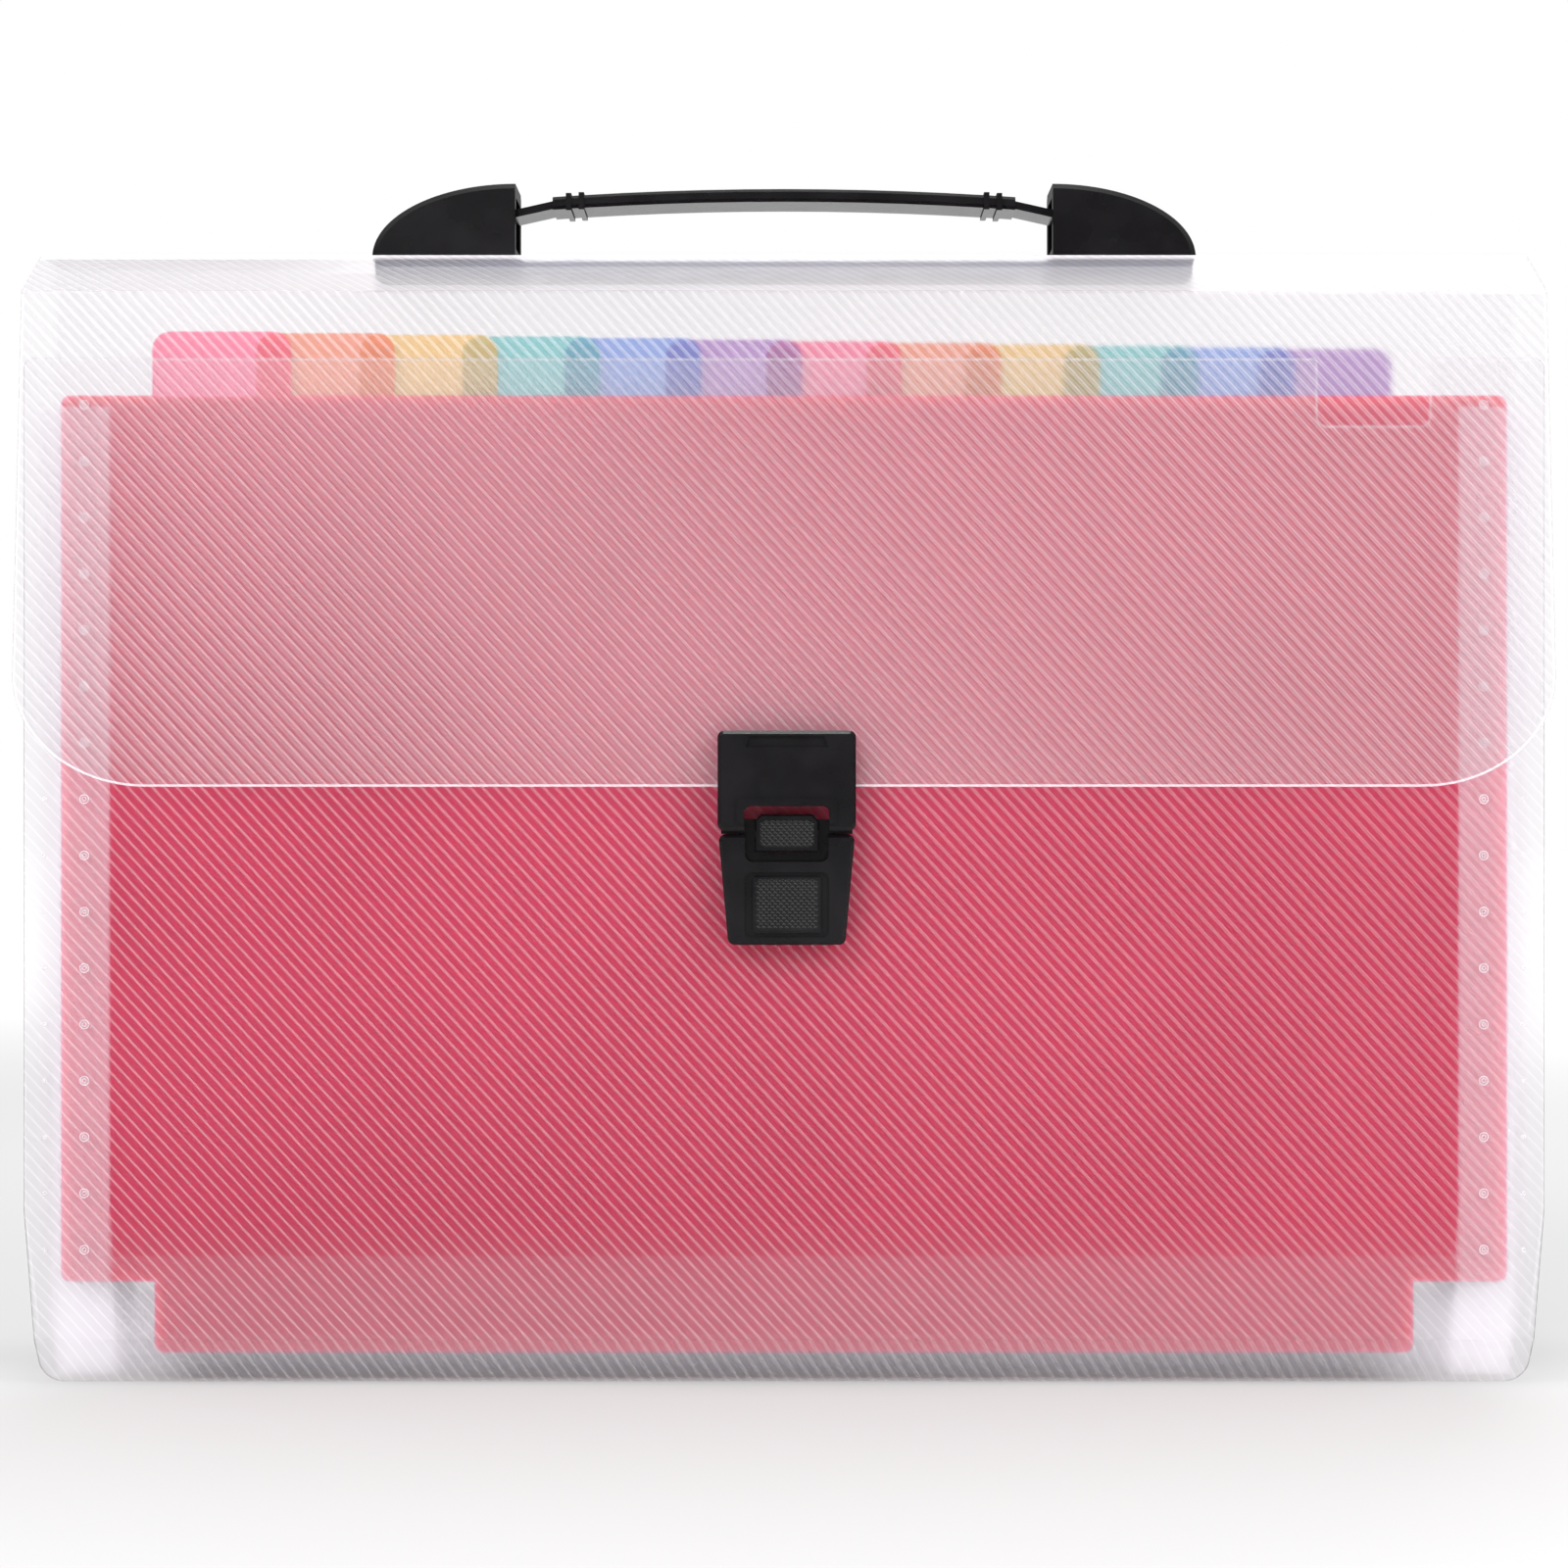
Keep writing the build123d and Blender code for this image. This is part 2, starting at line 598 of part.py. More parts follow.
def clasp_button():
    """Press button: a head with cut upper corners on a stem that slides in the shelf."""
    head = Pos(0, BUTTON_Z) * Rectangle(BUTTON_W, BUTTON_H)
    head = chamfer(head.vertices().group_by(Axis.Y)[-1], BUTTON_CHAMFER)
    gap = BUTTON_TRAVEL + 2 * BUTTON_FIT
    knob = clasp_block(head, -SHELF_T - gap, BUTTON_HEAD_T)
    knob = chamfer(knob.faces().sort_by(Axis.Y)[0].edges(), BUTTON_HEAD_T / 5)
    stem = Pos(0, BUTTON_STEM_Z) * Rectangle(BUTTON_STEM_W, BUTTON_STEM_H)
    return knob + clasp_block(stem, -gap, SHELF_T)


os.makedirs("parts", exist_ok=True)

save(back_panel(), "back_panel")
save(spine_panel(), "spine_panel")
save(top_band(), "top_band")
save(flap_panel(), "flap_panel")
save(front_cover(), "front_cover")

for number in range(1, DIVIDERS + 1):
    save(divider(number), f"divider_{number:02d}")

for number in range(1, POCKETS + 1):
    save(pleat(number), f"pleat_{number:02d}")

save(handle_cap(-1), "handle_cap_left")
save(handle_cap(1), "handle_cap_right")
save(handle_base(), "handle_base")
save(handle_strap(), "handle_strap")

save(clasp_upper(), "clasp_upper")
save(clasp_upper_back(), "clasp_upper_back")
save(clasp_lower(), "clasp_lower")
save(clasp_lower_back(), "clasp_lower_back")
save(clasp_pad(), "clasp_pad")
save(clasp_shelf(), "clasp_shelf")
save(clasp_button(), "clasp_button")
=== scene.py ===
"""Looks of the expanding file: frosted covers, coloured dividers, clear pleats, black handle and clasp.

Metres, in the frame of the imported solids: +Z up, the front cover and the clasp look along -Y.
"""

import math

import bpy
import numpy as np
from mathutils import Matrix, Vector


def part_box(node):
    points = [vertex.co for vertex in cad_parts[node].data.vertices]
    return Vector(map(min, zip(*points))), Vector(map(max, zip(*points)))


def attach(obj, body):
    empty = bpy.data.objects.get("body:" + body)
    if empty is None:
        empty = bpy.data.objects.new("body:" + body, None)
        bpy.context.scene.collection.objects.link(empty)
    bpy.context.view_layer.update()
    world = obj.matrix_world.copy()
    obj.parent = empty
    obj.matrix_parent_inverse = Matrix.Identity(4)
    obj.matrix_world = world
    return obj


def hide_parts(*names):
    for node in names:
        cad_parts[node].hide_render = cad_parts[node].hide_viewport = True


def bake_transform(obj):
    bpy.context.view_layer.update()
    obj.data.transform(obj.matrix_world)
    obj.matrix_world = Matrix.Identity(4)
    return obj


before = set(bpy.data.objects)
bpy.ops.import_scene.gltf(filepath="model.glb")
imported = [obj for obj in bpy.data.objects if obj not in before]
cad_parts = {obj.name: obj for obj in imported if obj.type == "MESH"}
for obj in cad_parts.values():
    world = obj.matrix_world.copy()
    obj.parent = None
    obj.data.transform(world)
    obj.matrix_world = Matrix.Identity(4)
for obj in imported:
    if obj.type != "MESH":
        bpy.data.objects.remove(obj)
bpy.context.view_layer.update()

MM = 0.001

# Sizes repeated from the solids, in millimetres
STACK = 37.7
MID_T = 15.3
COVER_T = 0.9
DIVIDER_T = 0.5
POCKET_GAP = 2.3
POCKETS = 13
SHEET_CLEAR = 0.3
PLEAT_T = 0.3
COVER_HALF_W = 166.0
COVER_FOOT_HALF_W = 163.0
COVER_TAPER_Z = 38.0
GUSSET_TOP = 214.0
GUSSET_DEPTH = 18.0
GUSSET_BEND = 5.0
GUSSET_INSET = 0.4
GUSSET_FLOOR = 1.0
FOOT_BAND_Z = 10.0
FOOT_BAND_T = 6.0
COVER_TOP = 224.4
NOTCH_X = 128.8
NOTCH_HALF_W = 12.2
NOTCH_FLOOR = 209.7
FLAP_GAP = 1.5
FLAP_HALF_W = 168.0
FLAP_TOP_HALF_W = 166.0
FLAP_CORNER_Z = 155.0
FLAP_CORNER_W = 28.9
FLAP_CORNER_H = 24.2
CLASP_X = 0.6

# Pieces that only the looks have, in millimetres: pleats, beads on cut edges, weld rings and teeth
SHOULDER_STEPS = 6
APEX_INSET = 0.2
RIM_R = 0.27
FLAP_RIM_TOP = 238.0
COVER_RIM_FOOT = 12.0
BACK_RIM_FOOT = 6.0
BACK_RIM_TOP = 248.0
FOOT_TURN = 4.0
COVER_CORNER = 2.2
NOTCH_LIP = 0.6
NOTCH_CORNER = 2.6
RIM_SINK = 0.02
RING_COUNT = 16
RING_LOW_Z = 29.7
RING_PITCH = 12.3
RING_X = 152.8
DOT_X = 161.5
RING_FRONT_T = 0.02
RING_BACK_T = STACK - 0.2
RING_AROUND = 16
TUBE_AROUND = 6
KNURL_COLUMNS = 150
KNURL_ROWS = 120
KNURL_PITCH = 1.25
KNURL_PROUD = 0.18
KNURL_CORNER = 0.9
KNURL_ROOT = 0.3
PAD_KNURL_Z = 105.2
PAD_KNURL_SIZE = (13.9, 11.3)
BUTTON_KNURL_Z = 120.6
BUTTON_KNURL_SIZE = (12.0, 6.0)

# Camera, at the height of the clasp and level
CAMERA_HEIGHT = 0.1314
CAMERA_BACK = 0.770
LENS = 80.96
LAMP_TARGET = (0, 0, 0.12)

# Embossed lines of the covers: their period, the direction across them in X and Z, how much of a step in Y
# counts as height, and the parts of a period from a ridge's middle at which it starts and is at its top
LINE_PERIOD = 1.96 * MM
LINE_ACROSS = (0.734, 0.679)
LINE_LEAN = 0.6
RIDGE_OUTER, RIDGE_INNER = 0.13, 0.04

# Shares of light in the plastics
SHEET_CLEAR_SHARE = 0.45
MILK_GLOW_SHARE = 0.3
TINTED_CLEAR_SHARE = 0.68
TINTED_GLOW_SHARE = 0.25
EDGE_GRAIN = 0.2

# Heights in metres over which the coloured sheets pale towards their foot, and by how much
FOOT_PALE = ((0.040, 0.012, 0.42), (0.0115, 0.0090, 0.40))

# Distances from the middle in metres between which the gusset's sides are milky
GUSSET_MILK_INNER = (0.1465, 0.1485)
GUSSET_MILK_OUTER = (0.1612, 0.1592)

DIVIDER_TINTS = ("pink", "orange", "yellow", "teal", "blue", "purple")
SHEET_COLOURS = {
    "pink": (0.92, 0.035, 0.17),
    "orange": (0.85, 0.16, 0.05),
    "yellow": (0.85, 0.45, 0.08),
    "teal": (0.08, 0.42, 0.42),
    "blue": (0.10, 0.20, 0.65),
    "purple": (0.30, 0.10, 0.42),
}
SHEET_TINTS = {
    "pink": (1.0, 0.45, 0.62),
    "orange": (1.0, 0.60, 0.45),
    "yellow": (1.0, 0.85, 0.45),
    "teal": (0.45, 0.90, 0.90),
    "blue": (0.50, 0.68, 1.0),
    "purple": (0.75, 0.50, 0.85),
}


def depth(t):
    """Model Y in metres of a depth t in millimetres behind the front cover's outer face."""
    return (t - MID_T) * MM


# Node helpers


class Nodes:
    """An emptied node tree, and short calls that add nodes to it and join them."""

    def __init__(self, tree):
        self.tree = tree
        tree.nodes.clear()

    def put(self, socket, value):
        """Joins an output to an input, or writes a plain value on it."""
        if isinstance(value, bpy.types.NodeSocket):
            self.tree.links.new(value, socket)
        elif isinstance(value, tuple) and len(value) == 3 and socket.type == "RGBA":
            socket.default_value = (*value, 1.0)
        else:
            socket.default_value = value

    def node(self, kind, values=None, **settings):
        """A node of the kind, with its settings, and its inputs by name or place."""
        made = self.tree.nodes.new(kind)
        for key, setting in settings.items():
            setattr(made, key, setting)
        for key, value in (values or {}).items():
            self.put(made.inputs[key], value)
        return made

    def math(self, operation, first, second=0.0):
        """One arithmetic step."""
        return self.node("ShaderNodeMath", {0: first, 1: second}, operation=operation).outputs[0]

    def add(self, first, second):
        """Sum of two values."""
        return self.math("ADD", first, second)

    def times(self, first, second):
        """Product of two values."""
        return self.math("MULTIPLY", first, second)

    def less(self, first, second):
        """First value less the second."""
        return self.math("SUBTRACT", first, second)

    def greater(self, first, second):
        """The greater of two values."""
        return self.math("MAXIMUM", first, second)

    def ray_is(self, kind):
        """1 on rays of a kind, such as Camera, Transmission, Shadow or Diffuse, and 0 on the others."""
        return self.node("ShaderNodeLightPath").outputs[f"Is {kind} Ray"]

    def ray_seen(self):
        """1 on the camera's rays and on those that a clear sheet has bent, and 0 on the others."""
        return self.greater(self.ray_is("Camera"), self.ray_is("Transmission"))

    def smooth(self, value, low, high, bottom=0.0, top=1.0):
        """Smooth step of a value from the bottom at low to the top at high."""
        ends = {"Value": value, "From Min": low, "From Max": high, "To Min": bottom, "To Max": top}
        made = self.node("ShaderNodeMapRange", ends, interpolation_type="SMOOTHSTEP")
        return made.outputs["Result"]

    def place(self):
        """Object coordinates."""
        return self.node("ShaderNodeTexCoord").outputs["Object"]

    def split(self, vector):
        """The three parts of a vector."""
        return self.node("ShaderNodeSeparateXYZ", {0: vector}).outputs

    def noise(self, scale, detail, roughness):
        """Noise over the object's coordinates."""
        values = {"Vector": self.place(), "Scale": scale, "Detail": detail, "Roughness": roughness}
        return self.node("ShaderNodeTexNoise", values).outputs["Fac"]

    def blend_colours(self, share, first, second):
        """Colour between two, by a share."""
        made = self.node("ShaderNodeMix", data_type="RGBA")
        self.put(made.inputs[0], share)
        self.put(made.inputs[6], first)
        self.put(made.inputs[7], second)
        return made.outputs[2]

    def mix(self, share, first, second):
        """Two shaders mixed by a share."""
        return self.node("ShaderNodeMixShader", {0: share, 1: first, 2: second}).outputs[0]

    def clear(self, colour):
        """Light let straight through with a tint."""
        return self.node("ShaderNodeBsdfTransparent", {"Color": colour}).outputs[0]

    def bump(self, height, distance, strength):
        """Normal from a height, whose full step is the distance in metres."""
        values = {"Height": height, "Distance": distance, "Strength": strength}
        return self.node("ShaderNodeBump", values).outputs["Normal"]

    def plastic(self, values):
        """The main plastic shader."""
        return self.node("ShaderNodeBsdfPrincipled", values).outputs[0]


class Finish(Nodes):
    """A material under construction."""

    def __init__(self, name):
        self.material = bpy.data.materials.new(name)
        self.material.use_nodes = True
        super().__init__(self.material.node_tree)
        self.output = self.node("ShaderNodeOutputMaterial")

    def done(self, shader):
        """Closes the material."""
        self.put(self.output.inputs["Surface"], shader)
        return self.material


def embossed_lines(finish):
    """Height from 0 to 1 of the fine slanting lines.

    A ridge comes once in each period of x*across_x + (z + lean*y)*across_z.
    """
    x, y, z = finish.split(finish.place())
    height = finish.add(z, finish.times(y, LINE_LEAN))
    along = finish.add(finish.times(x, LINE_ACROSS[0]), finish.times(height, LINE_ACROSS[1]))
    turn = finish.math("FRACT", finish.math("DIVIDE", along, LINE_PERIOD))
    from_line = finish.math("ABSOLUTE", finish.less(turn, 0.5))
    return finish.smooth(from_line, RIDGE_OUTER, RIDGE_INNER)


def frosted_sheet(name, facing, haze, ridge_painted_highlight, passed, edge_painted_light=0.45):
    """Milky sheet: mostly see-through with a slight blur, partly white, and whiter on lines and cut edges.

    The white on the embossed lines is a painted highlight of their ridges, and on cut edges painted light.

    facing is the direction of its broad faces. Shadow and bounced rays pass it with no blur and no white.
    """
    finish = Finish(name)
    lines = embossed_lines(finish)
    normal = finish.node("ShaderNodeNewGeometry").outputs["True Normal"]
    facing_node = finish.node("ShaderNodeVectorMath", {0: normal, 1: facing}, operation="DOT_PRODUCT")
    on_face = finish.math("ABSOLUTE", facing_node.outputs["Value"])
    edge = finish.smooth(on_face, 0.8, 0.4)
    tint = (passed, passed * 0.995, passed)
    lit_from = finish.greater(finish.ray_is("Shadow"), finish.ray_is("Diffuse"))
    clear_share = finish.greater(lit_from, SHEET_CLEAR_SHARE)
    blur = {"Color": tint, "Roughness": 0.30, "IOR": 1.12}
    blurred = finish.node("ShaderNodeBsdfRefraction", blur).outputs[0]
    body = finish.mix(clear_share, blurred, finish.clear(tint))
    # Real haze, plus a painted highlight on the embossed ridges and painted light on the cut edges
    haze_and_painted_light_share = finish.add(haze, finish.times(lines, ridge_painted_highlight))
    haze_and_painted_light_share = finish.add(haze_and_painted_light_share, finish.times(edge, edge_painted_light))
    haze_and_painted_light_share = finish.times(haze_and_painted_light_share, finish.less(1.0, lit_from))
    return finish.done(finish.mix(haze_and_painted_light_share, body, milky_surface(finish)))


def milky_surface(finish):
    """White plastic that scatters light off both its sides."""
    values = {"Base Color": (0.89, 0.865, 0.90), "Roughness": 0.4, "Specular IOR Level": 0.5}
    glow = finish.node("ShaderNodeBsdfTranslucent", {"Color": (0.89, 0.87, 0.90)}).outputs[0]
    return finish.mix(MILK_GLOW_SHARE, finish.plastic(values), glow)


def cut_edge(name, clear_share):
    """Bright bead on a cut sheet, painted white as the light that its edge collects: clear by a share, and
    wholly for shadow rays.
    """
    finish = Finish(name)
    grain = finish.noise(500.0, 2.0, 0.5)
    share = finish.add(clear_share, finish.times(finish.less(grain, 0.5), EDGE_GRAIN))
    shadow = finish.ray_is("Shadow")
    share = finish.add(finish.times(share, finish.less(1.0, shadow)), shadow)
    return finish.done(finish.mix(share, milky_surface(finish), finish.clear((0.98, 0.98, 0.98))))


def tinted_sheet(name, colour, tint):
    """Coloured translucent sheet: a share of the light passes with its tint, but no shadow ray does."""
    finish = Finish(name)
    cloud = finish.noise(14.0, 1.0, 0.5)
    pale = tuple(min(1.0, c * 1.10 + 0.012) for c in colour)
    tone = finish.blend_colours(finish.smooth(cloud, 0.3, 0.7), colour, pale)
    z = finish.split(finish.place())[2]
    lower, lowest = (finish.times(finish.smooth(z, top, bottom), most) for top, bottom, most in FOOT_PALE)
    tone = finish.blend_colours(finish.add(lower, lowest), tone, tuple(0.45 + 0.5 * c for c in colour))
    surface = finish.plastic({"Base Color": tone, "Roughness": 0.34, "Specular IOR Level": 0.4})
    glow = finish.node("ShaderNodeBsdfTranslucent", {"Color": tone}).outputs[0]
    each_face = tuple(math.sqrt(c) for c in tint)
    share = finish.times(TINTED_CLEAR_SHARE, finish.less(1.0, finish.ray_is("Shadow")))
    solid = finish.mix(TINTED_GLOW_SHARE, surface, glow)
    return finish.done(finish.mix(share, solid, finish.clear(each_face)))


def clear_strip(name, haze, side_haze):
    """Thin clear strip: see-through with a soft sheen, milkier along the case's sides than under it."""
    finish = Finish(name)
    from_middle = finish.math("ABSOLUTE", finish.split(finish.place())[0])
    inner, outer = (finish.smooth(from_middle, *ends) for ends in (GUSSET_MILK_INNER, GUSSET_MILK_OUTER))
    # Painted shade: the grey base colour stands for the shadows that the pleats, which cast none, would throw
    # on each other
    values = {"Base Color": (0.66, 0.635, 0.67), "Roughness": 0.25, "Specular IOR Level": 0.4}
    surface = finish.plastic(values)
    milk = finish.add(haze, finish.times(finish.times(inner, outer), side_haze))
    clear_share = finish.less(1.0, milk)
    return finish.done(finish.mix(clear_share, surface, finish.clear((0.996, 0.995, 0.996))))


def black_moulding(name, roughness, grain_height=0.00002, colour=(0.0035, 0.003, 0.0036)):
    """Moulded plastic with a fine orange-peel surface and patches that are slightly paler and duller."""
    finish = Finish(name)
    peel = finish.noise(1500.0, 3.0, 0.6)
    cloud = finish.noise(70.0, 3.0, 0.5)
    pale = tuple(c * 1.5 + 0.002 for c in colour)
    return finish.done(finish.plastic({
        "Base Color": finish.blend_colours(finish.smooth(cloud, 0.35, 0.75), colour, pale),
        "Roughness": finish.add(roughness, finish.times(finish.less(cloud, 0.5), 0.08)),
        "Specular IOR Level": 0.15,
        "Normal": finish.bump(peel, grain_height, 0.6),
    }))


# Mesh helpers


def surface_from_grid(name, points, closed=False):
    """A mesh of four-sided faces between neighbours of a grid of points, rows by columns by three.

    Where it is closed, its last column joins its first.
    """
    rows, columns = points.shape[:2]
    number = np.arange(rows * columns).reshape(rows, columns)
    if closed:
        number = np.hstack([number, number[:, :1]])
    faces = np.stack([number[:-1, :-1], number[1:, :-1], number[1:, 1:], number[:-1, 1:]], axis=-1)
    return mesh_object(name, points.reshape(-1, 3), faces.reshape(-1, 4))


def mesh_object(name, vertices, faces):
    """An object at the origin from arrays of points and four-sided faces."""
    mesh = bpy.data.meshes.new(name)
    mesh.from_pydata(vertices.tolist(), [], faces.tolist())
    mesh.update()
    made = bpy.data.objects.new(name, mesh)
    bpy.context.scene.collection.objects.link(made)
    return made


def shade_smooth(piece, angle):
    """Smooth faces, kept crisp where they meet at more than the angle."""
    mesh = piece.data
    mesh.polygons.foreach_set("use_smooth", np.ones(len(mesh.polygons), bool))
    mesh.set_sharp_from_angle(angle=math.radians(angle))


def dress(piece, material, body):
    """Gives a new piece its material and the body it rides on, if it rides on just one."""
    piece.data.materials.append(material)
    if body:
        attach(piece, body)


# Gusset pleats


def outward_offsets(path):
    """Mitre vectors of a path in X and Z: at each corner, the step that moves its runs outwards by one."""
    runs = np.diff(path, axis=0)
    runs = runs / np.linalg.norm(runs, axis=1)[:, None]
    normals = np.stack([runs[:, 1], -runs[:, 0]], axis=1)
    normals *= np.sign((path[0] - path.mean(0)) @ normals[0])
    before = np.vstack([normals[:1], normals])
    after = np.vstack([normals, normals[-1:]])
    return (before + after) / (1 + (before * after).sum(1))[:, None]


def foot_height(t):
    """Height of the inner face of the front cover's slanted foot at depth t, in millimetres."""
    slope = FOOT_BAND_Z / FOOT_BAND_T
    lean = math.sin(math.atan2(FOOT_BAND_Z, FOOT_BAND_T))
    return max(0.0, FOOT_BAND_Z + (COVER_T / lean - t) * slope)


def pleat_profile():
    """The fold's section: a flat leg, a rounded shoulder, the apex and the same back again.

    It comes as outward steps and depths, with the depths of its two legs after them.
    """
    low, high = SHEET_CLEAR + PLEAT_T / 2, POCKET_GAP - SHEET_CLEAR - PLEAT_T / 2
    middle = POCKET_GAP / 2
    bend = GUSSET_DEPTH - GUSSET_BEND
    share = np.linspace(0, 1, SHOULDER_STEPS + 1)[1:]
    eased = 1 - np.sqrt(1 - share**2 * 0.9999)
    out = np.concatenate([[0, bend * 0.5, bend], bend + (GUSSET_DEPTH - APEX_INSET - bend) * share])
    near = np.concatenate([[low, low, low], low + (middle - low) * eased])
    return np.concatenate([out, out[-2::-1]]), np.concatenate([near, 2 * middle - near[-2::-1]]), low, high


def make_pleat(index, material):
    """Folded strip of one pocket: its section runs down the left side, along the foot and up the right side."""
    start = COVER_T + (index - 1) * (POCKET_GAP + DIVIDER_T)
    out, near, low, high = pleat_profile()
    floor = max(GUSSET_FLOOR, foot_height(start + SHEET_CLEAR) + SHEET_CLEAR)
    inner_x = COVER_HALF_W - GUSSET_INSET - GUSSET_DEPTH
    turn = floor + GUSSET_DEPTH
    foot_x = inner_x - (COVER_HALF_W - COVER_FOOT_HALF_W) * (COVER_TAPER_Z - turn) / COVER_TAPER_Z
    path = np.array([
        (-inner_x, GUSSET_TOP), (-inner_x, COVER_TAPER_Z), (-foot_x, turn),
        (foot_x, turn), (inner_x, COVER_TAPER_Z), (inner_x, GUSSET_TOP),
    ])
    steps = outward_offsets(path)
    flat = path[:, None, :] + steps[:, None, :] * out[None, :, None]
    points = np.empty((*flat.shape[:2], 3))
    points[..., 0] = flat[..., 0] * MM
    points[..., 1] = depth(start + near)[None, :]
    points[..., 2] = flat[..., 1] * MM
    piece = surface_from_grid(f"gusset_pleat_{index:02d}", points)
    shade_smooth(piece, 60)
    piece.visible_shadow = False
    piece.visible_diffuse = False
    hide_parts(f"pleat_{index:02d}")
    dress(piece, material, None)
    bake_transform(piece)


# Weld rings


def weld_rings(name, column_x, t, ring, tube, body):
    """Two columns of flat rings, at plus and minus column_x and at depth t.

    Each is a torus about Y with ring and tube as its radii, and half as thick as its tube.
    """
    around = np.linspace(0, 2 * math.pi, RING_AROUND, endpoint=False)
    section = np.linspace(0, 2 * math.pi, TUBE_AROUND, endpoint=False)
    radius = ring + tube * np.cos(section)[None, :]
    torus = np.stack([
        radius * np.cos(around)[:, None],
        np.broadcast_to(tube * 0.5 * np.sin(section)[None, :], (RING_AROUND, TUBE_AROUND)),
        radius * np.sin(around)[:, None],
    ], axis=-1) * MM
    columns = np.array([-column_x, column_x]) * MM
    heights = (RING_LOW_Z + RING_PITCH * np.arange(RING_COUNT)) * MM
    centres = np.stack(np.meshgrid(columns, [depth(t)], heights, indexing="ij"), axis=-1).reshape(-1, 3)
    each = RING_AROUND * TUBE_AROUND
    grid = np.arange(each).reshape(RING_AROUND, TUBE_AROUND)
    grid = np.vstack([grid, grid[:1]])
    grid = np.hstack([grid, grid[:, :1]])
    faces = np.stack([grid[:-1, :-1], grid[:-1, 1:], grid[1:, 1:], grid[1:, :-1]], axis=-1)
    faces = faces.reshape(-1, 4)
    vertices = (centres[:, None, None, :] + torus[None]).reshape(-1, 3)
    all_faces = (faces[None] + each * np.arange(len(centres))[:, None, None]).reshape(-1, 4)
    piece = mesh_object(name, vertices, all_faces)
    shade_smooth(piece, 80)
    dress(piece, weld_finish, body)


# Bright cut edges: beads painted white as the light that the cut edges collect


def rounded_path(corners, radii, steps=10):
    """Points along an open path whose corners are rounded.

    Round a corner c, s runs from 0 to 1 over (1-s)(1-s)*a + 2s(1-s)*c + s*s*b, with a before and b after it.
    """
    corners = np.asarray(corners, float)
    share = np.linspace(0, 1, steps)[:, None]
    parts = [corners[:1]]
    for before, corner, after, radius in zip(corners, corners[1:], corners[2:], radii):
        back = (before - corner) / np.linalg.norm(before - corner)
        onward = (after - corner) / np.linalg.norm(after - corner)
        a = corner + back * radius
        b = corner + onward * radius
        parts.append((1 - share) ** 2 * a + 2 * share * (1 - share) * corner + share**2 * b)
    parts.append(corners[-1:])
    return np.vstack(parts)


def edge_rim(name, path, centre_y, material, body):
    """Round bead along a cut edge: a circle of radius RIM_R carried along a path just inside the edge."""
    along = np.gradient(path, axis=0)
    along = along / np.linalg.norm(along, axis=1)[:, None]
    across = np.stack([along[:, 1], -along[:, 0]], axis=1)
    turn = np.linspace(0, 2 * math.pi, 10, endpoint=False)
    points = np.empty((len(path), len(turn), 3))
    reach = RIM_R * np.cos(turn)
    points[..., 0] = path[:, None, 0] + across[:, None, 0] * reach
    points[..., 1] = centre_y + RIM_R * np.sin(turn)
    points[..., 2] = path[:, None, 1] + across[:, None, 1] * reach
    piece = surface_from_grid(name, points * MM, closed=True)
    shade_smooth(piece, 80)
    dress(piece, material, body)


# Knurled faces


def knurled_plate(name, front_y, height, size, body):
    """Plate of diamond teeth on a front face, with a wall round it that reaches down into the solid.

    A tooth's height is KNURL_PROUD times the lesser of two triangle waves along the diagonals, which are made
    1.5 times as high and cut off at 1. It fades out at the plate's rim, and the round corners sink back.
    """
    face_y, root_y = front_y - RIM_SINK, front_y + KNURL_ROOT
    u, v = np.meshgrid(np.linspace(-1, 1, KNURL_COLUMNS), np.linspace(-1, 1, KNURL_ROWS), indexing="ij")
    half_w, half_h = size[0] / 2, size[1] / 2
    x, z = u * half_w, v * half_h
    spare_x = np.clip((np.abs(x) - (half_w - KNURL_CORNER)) / KNURL_CORNER, 0, 1)
    spare_z = np.clip((np.abs(z) - (half_h - KNURL_CORNER)) / KNURL_CORNER, 0, 1)
    x = x - np.sign(x) * KNURL_CORNER * (1 - np.sqrt(1 - spare_z**2 * 0.999)) * (np.abs(x) / half_w)
    wave = [np.abs(((x + s * z) / KNURL_PITCH) % 1.0 * 2 - 1) for s in (-1, 1)]
    tooth = np.clip(np.minimum(wave[0], wave[1]) * 1.5, 0, 1)
    fade = np.clip(np.minimum(1 - np.abs(u), 1 - np.abs(v)) * 12, 0, 1)
    y = face_y - KNURL_PROUD * (tooth * fade)
    y = y + KNURL_PROUD * 0.6 * np.clip(spare_x + spare_z - 0.6, 0, 1)
    top = np.stack([x + CLASP_X, y, z + height], axis=-1) * MM
    rim = np.concatenate([top[:-1, 0], top[-1, :-1], top[:0:-1, -1], top[0, :0:-1]])
    root = rim.copy()
    root[:, 1] = root_y * MM
    surface = surface_from_grid(name, top)
    wall = surface_from_grid(name + "_wall", np.stack([rim, root]), closed=True)
    for made in (surface, wall):
        shade_smooth(made, 35)
        dress(made, black_gloss, body)


# Materials on the solids

